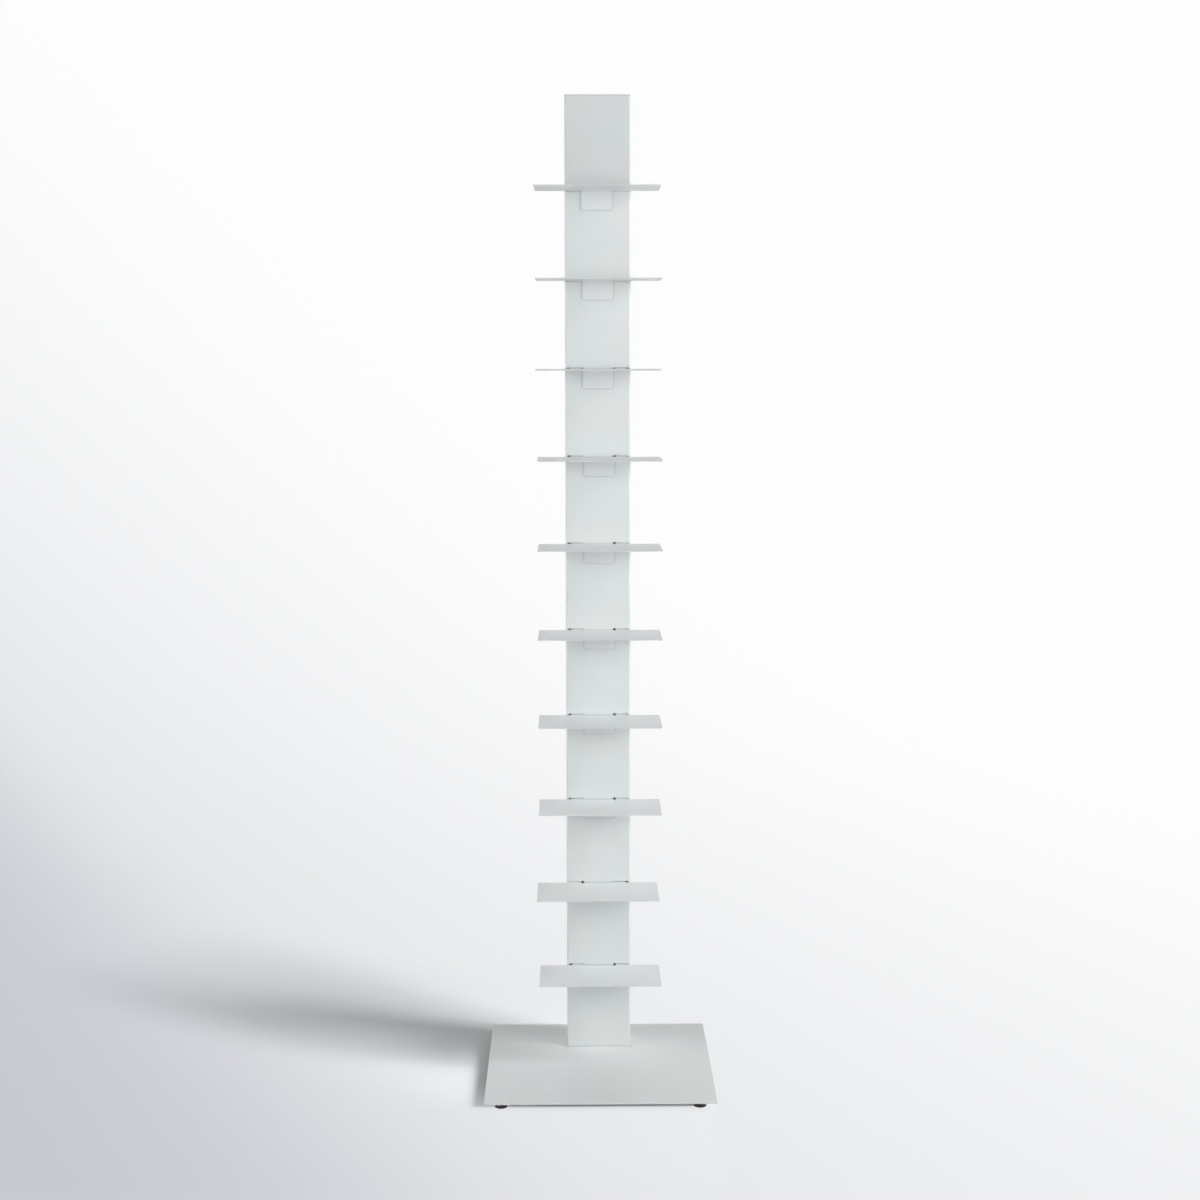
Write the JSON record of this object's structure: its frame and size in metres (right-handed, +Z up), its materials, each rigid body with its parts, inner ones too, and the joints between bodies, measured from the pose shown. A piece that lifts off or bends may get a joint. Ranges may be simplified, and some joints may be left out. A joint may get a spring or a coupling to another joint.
{
  "type": "spine bookshelf",
  "caption": "Tall narrow steel book tower: a box-section column on a square base plate, with small folded sheet shelves hooked into slots up its front face, on low levelling feet.",
  "frame": {"origin": "on the floor, under the middle of the square base plate", "axes": "+Z up, the shelves and the front face -Y, +X to the right seen from the front"},
  "size_m": [0.35, 0.35, 1.517],
  "materials": {
    "frame_paint": "satin off-white powder coat",
    "shelf_paint": "satin off-white powder coat",
    "plain_steel": "milled steel",
    "zinc_hardware": "bright zinc plate",
    "foot_plastic": "black moulded nylon"
  },
  "bodies": {
    "tower": {"base_plate": "frame_paint", "column": "frame_paint", "top_cap": "frame_paint", "column_block": "plain_steel", "column_washers": "zinc_hardware", "column_screws": "zinc_hardware", "foot_nuts": "frame_paint"},
    "shelf_01": {"shelf_01": "shelf_paint"},
    "shelf_02": {"shelf_02": "shelf_paint"},
    "shelf_03": {"shelf_03": "shelf_paint"},
    "shelf_04": {"shelf_04": "shelf_paint"},
    "shelf_05": {"shelf_05": "shelf_paint"},
    "shelf_06": {"shelf_06": "shelf_paint"},
    "shelf_07": {"shelf_07": "shelf_paint"},
    "shelf_08": {"shelf_08": "shelf_paint"},
    "shelf_09": {"shelf_09": "shelf_paint"},
    "shelf_10": {"shelf_10": "shelf_paint"},
    "foot_front_left": {"foot_pad_front_left": "foot_plastic", "foot_stud_front_left": "zinc_hardware"},
    "foot_front_right": {"foot_pad_front_right": "foot_plastic", "foot_stud_front_right": "zinc_hardware"},
    "foot_rear_left": {"foot_pad_rear_left": "foot_plastic", "foot_stud_rear_left": "zinc_hardware"},
    "foot_rear_right": {"foot_pad_rear_right": "foot_plastic", "foot_stud_rear_right": "zinc_hardware"}
  },
  "joints": [
    {"name": "shelf_01_lift", "type": "hinge", "parent": "tower", "child": "shelf_01", "pos_m": [0, 0.0695, 0.151], "axis": [-1, 0, 0], "range_deg": [0, 35]},
    {"name": "shelf_02_lift", "type": "hinge", "parent": "tower", "child": "shelf_02", "pos_m": [0, 0.0695, 0.2869], "axis": [-1, 0, 0], "range_deg": [0, 35]},
    {"name": "shelf_03_lift", "type": "hinge", "parent": "tower", "child": "shelf_03", "pos_m": [0, 0.0695, 0.4228], "axis": [-1, 0, 0], "range_deg": [0, 35]},
    {"name": "shelf_04_lift", "type": "hinge", "parent": "tower", "child": "shelf_04", "pos_m": [0, 0.0695, 0.5587], "axis": [-1, 0, 0], "range_deg": [0, 35]},
    {"name": "shelf_05_lift", "type": "hinge", "parent": "tower", "child": "shelf_05", "pos_m": [0, 0.0695, 0.6946], "axis": [-1, 0, 0], "range_deg": [0, 35]},
    {"name": "shelf_06_lift", "type": "hinge", "parent": "tower", "child": "shelf_06", "pos_m": [0, 0.0695, 0.8305], "axis": [-1, 0, 0], "range_deg": [0, 35]},
    {"name": "shelf_07_lift", "type": "hinge", "parent": "tower", "child": "shelf_07", "pos_m": [0, 0.0695, 0.9664], "axis": [-1, 0, 0], "range_deg": [0, 35]},
    {"name": "shelf_08_lift", "type": "hinge", "parent": "tower", "child": "shelf_08", "pos_m": [0, 0.0695, 1.1023], "axis": [-1, 0, 0], "range_deg": [0, 35]},
    {"name": "shelf_09_lift", "type": "hinge", "parent": "tower", "child": "shelf_09", "pos_m": [0, 0.0695, 1.2382], "axis": [-1, 0, 0], "range_deg": [0, 35]},
    {"name": "shelf_10_lift", "type": "hinge", "parent": "tower", "child": "shelf_10", "pos_m": [0, 0.0695, 1.3741], "axis": [-1, 0, 0], "range_deg": [0, 35]},
    {"name": "foot_front_left_height", "type": "slide", "parent": "tower", "child": "foot_front_left", "axis": [0, 0, -1], "range_m": [0, 0.003]},
    {"name": "foot_front_right_height", "type": "slide", "parent": "tower", "child": "foot_front_right", "axis": [0, 0, -1], "range_m": [0, 0.003]},
    {"name": "foot_rear_left_height", "type": "slide", "parent": "tower", "child": "foot_rear_left", "axis": [0, 0, -1], "range_m": [0, 0.003]},
    {"name": "foot_rear_right_height", "type": "slide", "parent": "tower", "child": "foot_rear_right", "axis": [0, 0, -1], "range_m": [0, 0.003]}
  ]
}
